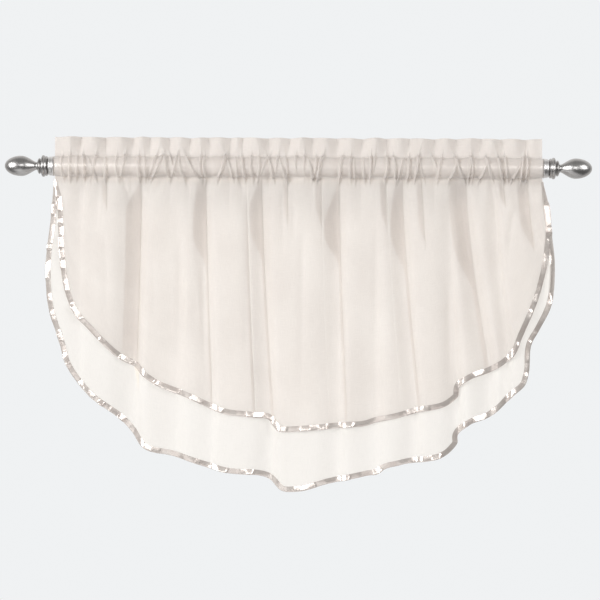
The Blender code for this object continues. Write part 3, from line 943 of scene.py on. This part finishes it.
def voile_material(name, light, shade, opacity, through):
    """Make a sheer plain weave: threads with tiny gaps between, slubs, soft uneven colour and painted shade
    under the seam.
    """
    nodes = Nodes(name)
    place = nodes.add("ShaderNodeUVMap", uv_map="cloth").outputs[0]
    axes = nodes.add("ShaderNodeSeparateXYZ")
    nodes.join(place, axes.inputs[0])
    weave = woven_threads(nodes, axes)
    weft = nodes.noise(place, 1.0, (60.0, 1500.0, 1.0))
    warp = nodes.noise(place, 1.0, (1400.0, 50.0, 1.0))
    slub = nodes.compute("ADD", nodes.ramp(weft, 0.0, 0.5), nodes.ramp(warp, 0.0, 0.5))
    cloud = nodes.noise(place, 1.0, (14.0, 9.0, 1.0), 4.0)
    tone = nodes.compute("ADD", nodes.compute("MULTIPLY", slub, 0.35), nodes.ramp(cloud, 0.0, 0.65))
    # The cloth's colour is scaled down below the seam by painted shade.
    colour = nodes.scaled(nodes.blend(tone, shade, light), painted_seam_shade(nodes, axes.outputs["Y"]))
    woven = nodes.compute("MULTIPLY", weave, WEAVE_COVER)
    cover = nodes.compute("ADD", woven, nodes.compute("MULTIPLY", slub, SLUB_COVER))
    cover = nodes.compute("ADD", cover, opacity - MEAN_COVER)
    normal = nodes.bump(nodes.compute("ADD", weave, slub), 0.25, 0.0002)
    nodes.join(sheer_shader(nodes, colour, normal, cover, through), nodes.output.inputs[0])
    return nodes.material


def satin_material():
    """Make a glossy satin ribbon: fine threads along it and a soft uneven tone."""
    nodes = Nodes("champagne_satin")
    place = nodes.add("ShaderNodeUVMap", uv_map="cloth").outputs[0]
    threads = nodes.noise(place, 1.0, (30.0, 3500.0, 1.0))
    tone = nodes.noise(place, 1.0, (45.0, 90.0, 1.0), 2.0)
    colour = nodes.blend(nodes.ramp(tone, 0.0, 1.0), (0.68, 0.605, 0.56), (0.82, 0.76, 0.71))
    satin = nodes.add("ShaderNodeBsdfPrincipled", Metallic=0.5)
    satin.inputs["Sheen Weight"].default_value = 0.1
    nodes.join(colour, satin.inputs["Base Color"])
    nodes.join(nodes.ramp(threads, 0.2, 0.28), satin.inputs["Roughness"])
    nodes.join(nodes.bump(threads, 0.2, 0.0002), satin.inputs["Normal"])
    nodes.join(satin.outputs[0], nodes.output.inputs[0])
    return nodes.material


def nickel_material(name, dark, light, smoothest, roughest):
    """Make turned nickel: fine lines round it, faint clouds and a little wear."""
    nodes = Nodes(name)
    place = nodes.add("ShaderNodeTexCoord").outputs["Object"]
    lines = nodes.noise(place, 1.0, (2600.0, 30.0, 30.0))
    clouds = nodes.noise(place, 1.0, (45.0, 60.0, 60.0), 4.0)
    colour = nodes.blend(nodes.ramp(clouds, 0.0, 1.0), dark, light)
    metal = nodes.add("ShaderNodeBsdfPrincipled", Metallic=1.0)
    rough = nodes.compute("ADD", nodes.ramp(lines, smoothest, roughest), nodes.ramp(clouds, 0.0, 0.05))
    nodes.join(colour, metal.inputs["Base Color"])
    nodes.join(rough, metal.inputs["Roughness"])
    nodes.join(nodes.bump(lines, 0.12, 0.0001), metal.inputs["Normal"])
    nodes.join(metal.outputs[0], nodes.output.inputs[0])
    return nodes.material


def thread_material():
    """Make the sewing thread, with the twist of its ply."""
    nodes = Nodes("ivory_thread")
    place = nodes.add("ShaderNodeTexCoord").outputs["Object"]
    ply = nodes.noise(place, 1.0, (2200.0, 2200.0, 2200.0))
    colour = nodes.blend(nodes.ramp(ply, 0.0, 1.0), (0.78, 0.73, 0.68), (0.88, 0.84, 0.79))
    thread = nodes.add("ShaderNodeBsdfPrincipled", Roughness=0.6)
    nodes.join(colour, thread.inputs["Base Color"])
    nodes.join(nodes.bump(ply, 0.3, 0.0002), thread.inputs["Normal"])
    nodes.join(thread.outputs[0], nodes.output.inputs[0])
    return nodes.material


def floor_material():
    """Make the plain pale floor."""
    nodes = Nodes("pale_floor")
    plain = nodes.add("ShaderNodeBsdfPrincipled", Roughness=0.9)
    plain.inputs["Base Color"].default_value = (0.8, 0.8, 0.81, 1.0)
    nodes.join(plain.outputs[0], nodes.output.inputs[0])
    return nodes.material


def dress(piece, slot, *nodes):
    """Let a piece move with the part and hide the CAD nodes it stands for. The slot is not used."""
    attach(piece, "root")
    if nodes:
        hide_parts(*nodes)


def add_cloth():
    """Hang both layers with their ribbons and stitches."""
    front = Edge(FRONT_EDGE)
    rear = Edge(REAR_EDGE)
    front_voile = voile_material("ivory_voile", (0.93, 0.893, 0.858), (0.845, 0.8, 0.765), 0.81, 0.42)
    # The rear layer's voile is a lighter copy of the front's: painted light for light shining through it
    # from behind.
    rear_voile = voile_material("ivory_voile_painted_backlight", (1.0, 0.965, 0.915), (0.96, 0.92, 0.868), 0.82, 0.52)
    satin = satin_material()
    chance = np.random.default_rng(RIBBON_SEED)
    front_rows = front_cloth_rows(Columns(front, FRONT_PLEAT_SHARES), front)
    rear_rows = rear_cloth_rows(Columns(rear, REAR_PLEAT_SHARES), rear)
    front_cloth = sheet_object("front_cloth", front_rows, front_voile, BODY_ROWS)
    rear_cloth = sheet_object("rear_cloth", rear_rows, rear_voile, BODY_ROWS)
    front_ribbon = sheet_object("front_ribbon", ribbon_rows(front, 1.0, FRONT_RIBBON_TURNS, chance), satin)
    rear_ribbon = sheet_object("rear_ribbon", ribbon_rows(rear, -1.0, REAR_RIBBON_TURNS, chance), satin)
    stitches = stitch_object("seam_stitches", seam_lines(front_rows), thread_material())
    dress(front_cloth, "voile", "front_panel")
    dress(rear_cloth, "rear_voile", "rear_panel")
    dress(front_ribbon, "satin", "front_binding")
    dress(rear_ribbon, "satin", "rear_binding")
    dress(stitches, "voile")


def seam_lines(rows):
    """Return the sewn lines of the pocket, in front and behind, each with the way it stands off."""
    seam = BODY_ROWS
    header = seam + 1 + POCKET_ROWS[IN_FRONT]
    header_back = header + HEADER_ROWS[IN_FRONT] + len(HEADER_TURN) + HEADER_ROWS[BEHIND] - 1
    allowance = len(rows) - len(ALLOWANCE_SHARES)
    return ((rows[seam], (0.0, IN_FRONT, 0.0)), (rows[header], (0.0, IN_FRONT, 0.0)),
            (rows[header_back], (0.0, BEHIND, 0.0)), (rows[allowance], (0.0, BEHIND, 0.0)))


def add_rod_and_ends():
    """Turn the rod, and an end cap and a finial for each end."""
    # The finials' nickel is a darker copy of the metal: painted shade for the dark room reflected in them.
    shaded_nickel = nickel_material("nickel_with_painted_shade", (0.4, 0.39, 0.385), (0.53, 0.52, 0.51), 0.24, 0.34)
    satin_nickel = nickel_material("satin_nickel", (0.66, 0.65, 0.64), (0.78, 0.77, 0.76), 0.3, 0.4)
    # The rod's nickel is a lighter, warmer copy of the metal: painted light that brightens the pocket seen
    # through the cloth.
    brushed = nickel_material("brushed_nickel", (0.93, 0.88, 0.84), (0.99, 0.94, 0.9), 0.28, 0.36)
    rod = turned_object("rod_tube", rod_profile(), 1.0, 0.0, brushed)
    dress(rod, "rod_nickel", "rod")
    for side, sign in (("left", -1.0), ("right", 1.0)):
        cap = turned_object(f"turned_cap_{side}", cap_profile(), sign, CAP_INNER, satin_nickel)
        finial = turned_object(f"turned_finial_{side}", finial_profile(), sign, FINIAL_INNER, shaded_nickel)
        dress(cap, "nickel", f"end_cap_{side}")
        dress(finial, "nickel", f"finial_{side}")


def add_floor():
    """Lay a pale round floor below the valance."""
    shape = bmesh.new()
    bmesh.ops.create_circle(shape, cap_ends=True, segments=FLOOR_SIDES, radius=FLOOR_RADIUS)
    floor = finished_object("floor", shape, floor_material())
    floor.location = (0.0, 0.0, -FLOOR_DROP)


def add_light(name, place, size, power, target):
    """Hang a soft rectangular light, aimed at a target."""
    lamp = bpy.data.lights.new(name, "AREA")
    lamp.shape = "RECTANGLE"
    lamp.size, lamp.size_y = size
    lamp.energy = power
    thing = bpy.data.objects.new(name, lamp)
    thing.location = place
    thing.rotation_euler = (Vector(target) - Vector(place)).to_track_quat("-Z", "Y").to_euler()
    thing.visible_camera = False
    bpy.context.scene.collection.objects.link(thing)


def add_world():
    """Make the pale surroundings that the camera sees, and the dimmer room that lights the object."""
    world = bpy.data.worlds.new("studio")
    bpy.context.scene.world = world
    world.use_nodes = True
    tree = world.node_tree
    tree.nodes.clear()
    direction = tree.nodes.new("ShaderNodeTexCoord")
    axes = tree.nodes.new("ShaderNodeSeparateXYZ")
    back = tree.nodes.new("ShaderNodeMapRange")
    top = tree.nodes.new("ShaderNodeMapRange")
    both = tree.nodes.new("ShaderNodeMath")
    room = tree.nodes.new("ShaderNodeBackground")
    seen = tree.nodes.new("ShaderNodeBackground")
    path = tree.nodes.new("ShaderNodeLightPath")
    mix = tree.nodes.new("ShaderNodeMixShader")
    output = tree.nodes.new("ShaderNodeOutputWorld")
    for node, numbers in ((back, ROOM_BACK), (top, ROOM_TOP)):
        node.interpolation_type = "SMOOTHSTEP"
        set_range(node, *numbers)
    seen.inputs["Color"].default_value = BACKDROP_COLOUR
    room.inputs["Color"].default_value = ROOM_COLOUR
    links = (
        (direction.outputs["Generated"], axes.inputs[0]),
        (axes.outputs["Y"], back.inputs["Value"]),
        (axes.outputs["Z"], top.inputs["Value"]),
        (back.outputs[0], both.inputs[0]),
        (top.outputs[0], both.inputs[1]),
        (both.outputs[0], room.inputs["Strength"]),
        (path.outputs["Is Camera Ray"], mix.inputs[0]),
        (room.outputs[0], mix.inputs[1]),
        (seen.outputs[0], mix.inputs[2]),
        (mix.outputs[0], output.inputs[0]),
    )
    for source, target in links:
        tree.links.new(source, target)


def add_camera():
    """Look straight at the valance as the photograph does."""
    data = bpy.data.cameras.new("camera")
    data.sensor_width = SENSOR_WIDTH
    data.lens = SENSOR_WIDTH * CAMERA_DISTANCE / (PHOTO_PIXELS * PIXEL_SIZE)
    camera = bpy.data.objects.new("camera", data)
    camera.location = MM * Vector((VIEW_CENTRE_X, -CAMERA_DISTANCE, -VIEW_CENTRE_DROP))
    camera.rotation_euler = (0.5 * math.pi, -CAMERA_ROLL, 0.0)
    bpy.context.scene.collection.objects.link(camera)
    bpy.context.scene.camera = camera


def build():
    """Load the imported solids, dress them and light them."""
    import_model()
    add_cloth()
    add_rod_and_ends()
    add_floor()
    for light in LIGHTS:
        add_light(*light)
    add_world()
    add_camera()
    bpy.context.scene.view_settings.view_transform = "Standard"


build()
